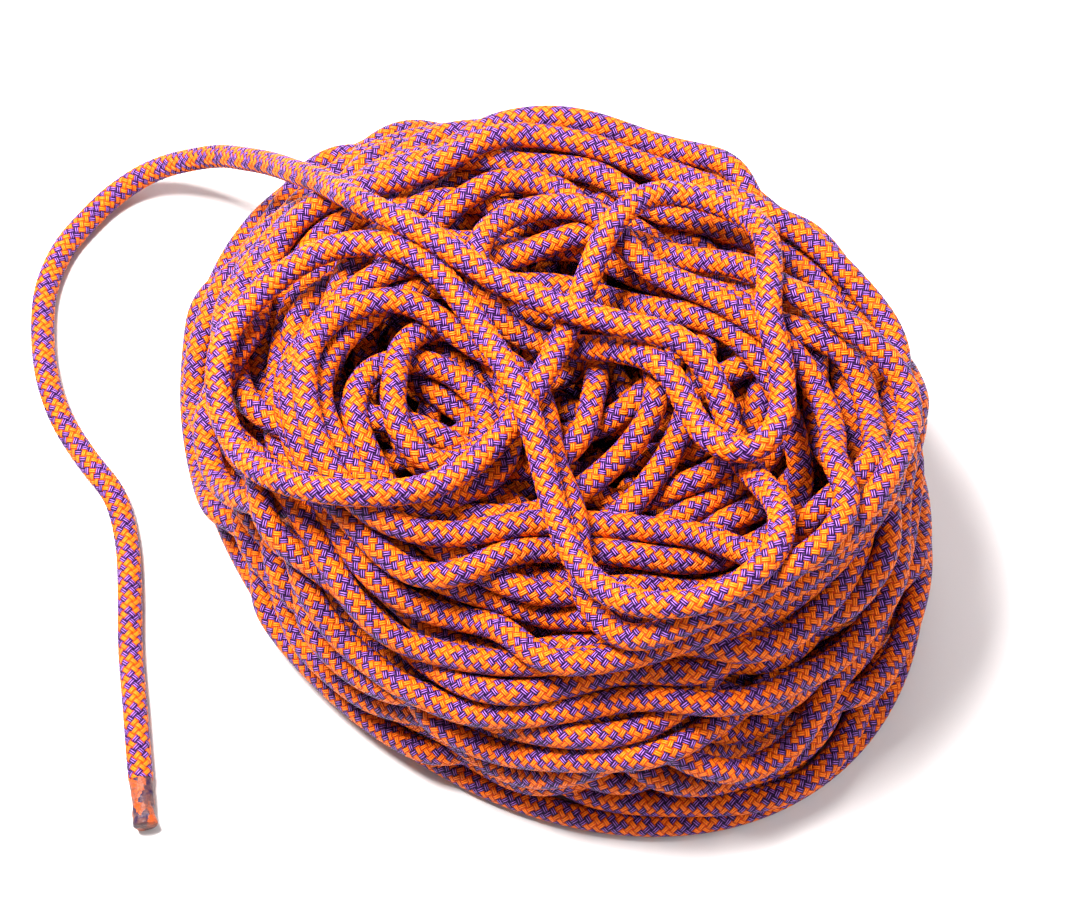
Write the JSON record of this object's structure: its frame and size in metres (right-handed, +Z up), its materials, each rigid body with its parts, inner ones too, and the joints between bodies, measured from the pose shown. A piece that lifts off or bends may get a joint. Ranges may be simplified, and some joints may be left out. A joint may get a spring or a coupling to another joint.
{
  "type": "dynamic climbing rope",
  "caption": "Braided dynamic climbing rope let down in a round heap, with loose loops on top and a free, heat-fused end on the floor.",
  "frame": {"origin": "on the resting surface, under the middle of the heap's top, where the free end runs down to the left", "axes": "+Z up from the resting surface, +X to the right across the heap as the picture shows it, +Y away from the viewer"},
  "size_m": [0.4177, 0.3517, 0.1618],
  "materials": {
    "braid": "woven orange and violet nylon, slightly glossy",
    "core_yarn": "undyed twisted nylon",
    "fused_nylon": "melted smooth"
  },
  "bodies": {
    "root": {"inner_turns": "braid", "outer_turns": "braid", "right_loop": "braid", "left_loop": "braid", "front_bight": "braid", "crossing_stretch": "braid", "free_sheath": "braid", "core_strand_1": "core_yarn", "core_strand_2": "core_yarn", "core_strand_3": "core_yarn", "core_strand_4": "core_yarn", "core_strand_5": "core_yarn", "core_strand_6": "core_yarn", "core_strand_7": "core_yarn", "free_end_seal": "fused_nylon", "lower_tail": "braid", "lower_end_seal": "fused_nylon"}
  },
  "joints": []
}
